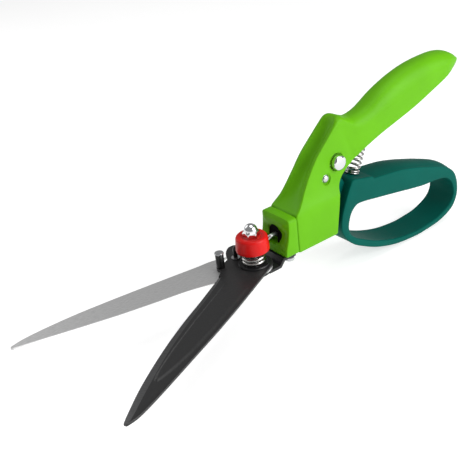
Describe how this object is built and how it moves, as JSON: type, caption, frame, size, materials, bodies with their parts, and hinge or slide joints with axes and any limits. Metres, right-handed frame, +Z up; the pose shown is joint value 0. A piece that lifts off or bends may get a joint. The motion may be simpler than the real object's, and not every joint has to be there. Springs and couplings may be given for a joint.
{
  "type": "grass shears",
  "caption": "Squeeze-handle grass shears with a turning head, a fixed lower blade, a moving upper blade on a sprung pivot bolt and a closed lower hand loop.",
  "frame": {"origin": "centre of the bounding box in plan, on the surface that the tool stands on", "axes": "+X along the swivel axis from the blades to the handles, +Y towards the far side of the tool, +Z up"},
  "size_m": [0.3592, 0.1162, 0.1329],
  "materials": {
    "green_plastic": "satin moulded plastic",
    "teal_plastic": "satin moulded plastic",
    "red_plastic": "gloss",
    "black_blade": "non-stick coating with a ground edge",
    "bright_blade": "ground",
    "black_steel": "black oxide",
    "steel": "zinc plated",
    "chrome": "polished",
    "rubber": "matte"
  },
  "bodies": {
    "handle": {"upper_handle": "green_plastic", "handle_pivot_pin": "steel"},
    "trigger": {"lower_handle": "teal_plastic", "return_spring": "chrome"},
    "lock": {"lock_button": "chrome"},
    "head": {"head_block": "green_plastic", "swivel_tube": "steel", "tube_ring": "black_steel", "thrust_washer": "steel", "detent_ball": "chrome", "detent_spring": "steel", "blade_bracket": "black_steel", "bracket_screws": "steel", "bracket_rivet": "steel", "lower_blade": "bright_blade", "pivot_bolt": "steel", "blade_washer": "black_steel", "tension_spring": "chrome", "spring_cup": "red_plastic", "acorn_nut": "chrome"},
    "cutter": {"upper_blade": "black_blade", "stop_pin": "steel", "stop_sleeve": "rubber"},
    "rod": {"pull_rod": "black_steel", "rod_ball": "steel", "rod_clip": "steel"}
  },
  "joints": [
    {"name": "squeeze", "type": "hinge", "parent": "handle", "child": "trigger", "pos_m": [0.04155, 0.01896, 0.0792], "axis": [0, -1, 0], "range_deg": [0, 19], "stiffness_Nm_per_rad": 3, "deforming": ["return_spring"]},
    {"name": "head_turn", "type": "hinge", "parent": "handle", "child": "head", "pos_m": [0.00955, 0.01896, 0.0512], "axis": [1, 0, 0], "range_deg": [-90, 90]},
    {"name": "lock_push", "type": "slide", "parent": "handle", "child": "lock", "axis": [0, 1, 0], "range_m": [0, 0.004]},
    {"name": "blade_close", "type": "hinge", "parent": "head", "child": "cutter", "pos_m": [-0.01835, 0.01896, 0.0372], "axis": [0, 0, -1], "range_deg": [0, 38]},
    {"name": "rod_pull", "type": "slide", "parent": "head", "child": "rod", "axis": [1, 0, 0], "range_m": [0, 0.00955]}
  ],
  "couplings": [
    {"joint": "blade_close", "follows": "squeeze", "ratio": 2},
    {"joint": "rod_pull", "follows": "squeeze", "m_per_rad": 0.0288}
  ]
}
